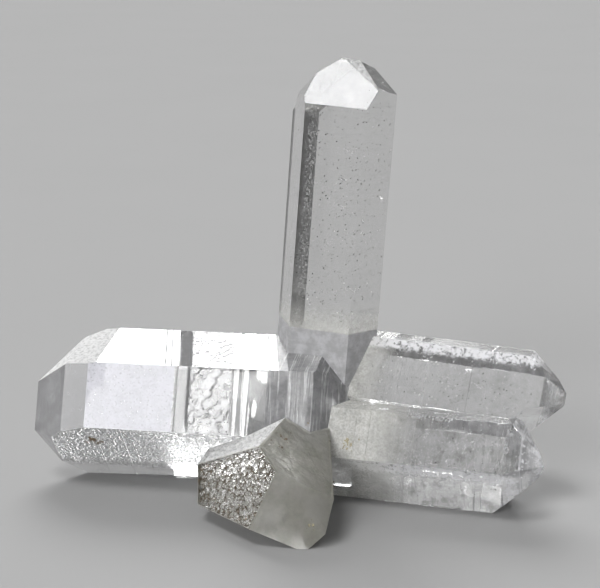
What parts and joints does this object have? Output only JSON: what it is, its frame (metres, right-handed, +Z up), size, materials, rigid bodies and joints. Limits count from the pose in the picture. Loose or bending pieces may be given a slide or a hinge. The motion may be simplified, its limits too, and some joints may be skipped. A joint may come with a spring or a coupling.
{
  "type": "quartz crystal cluster",
  "caption": "Cluster of clear intergrown quartz prisms lying left and right, with one standing crystal and a short milky broken stub in front.",
  "frame": {"origin": "centre of the cluster's footprint box, on the surface that it lies on", "axes": "+X along the lying crystals to the right as the picture shows them, +Y away from the viewer, +Z up along the standing crystal"},
  "size_m": [0.0774, 0.0418, 0.0627],
  "materials": {
    "quartz": "natural clear crystal faces with frosted, striated and milky areas"
  },
  "bodies": {
    "root": {"quartz_cluster": "quartz"}
  },
  "joints": []
}
